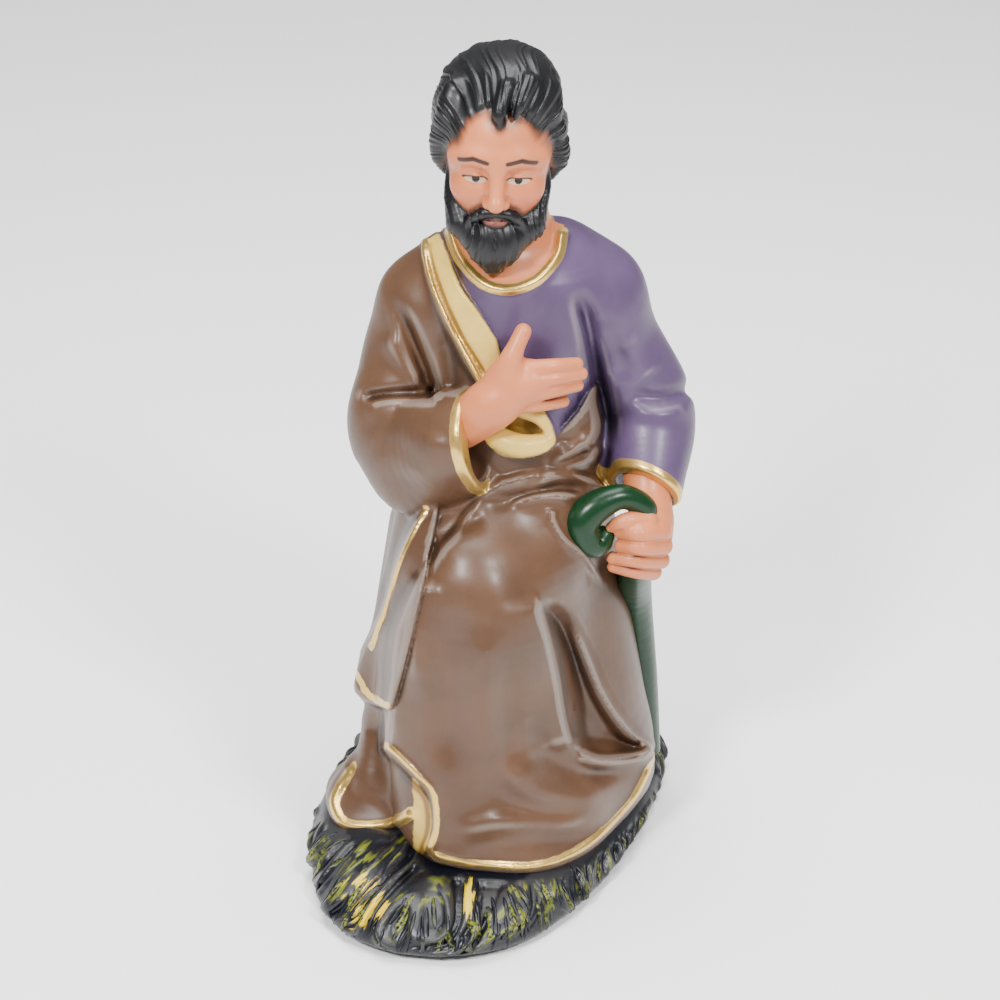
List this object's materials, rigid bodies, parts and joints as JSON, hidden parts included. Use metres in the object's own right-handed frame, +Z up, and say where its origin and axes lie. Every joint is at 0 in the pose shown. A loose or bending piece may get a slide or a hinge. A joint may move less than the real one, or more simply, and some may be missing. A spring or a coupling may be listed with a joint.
{
  "type": "saint joseph statue",
  "caption": "Painted plaster nativity figure of a bearded man in a mantle, kneeling on a straw mound with one hand on the breast and one on a crook.",
  "frame": {"origin": "centre of the bounding box in plan, on the underside of the mound", "axes": "+Z up, the figure faces -Y, +X is the figure's left (the viewer's right)"},
  "size_m": [0.1912, 0.2304, 0.4197],
  "materials": {
    "painted_plaster": "satin paint on plaster"
  },
  "bodies": {
    "root": {"kneeling_figure": "painted_plaster"}
  },
  "joints": []
}
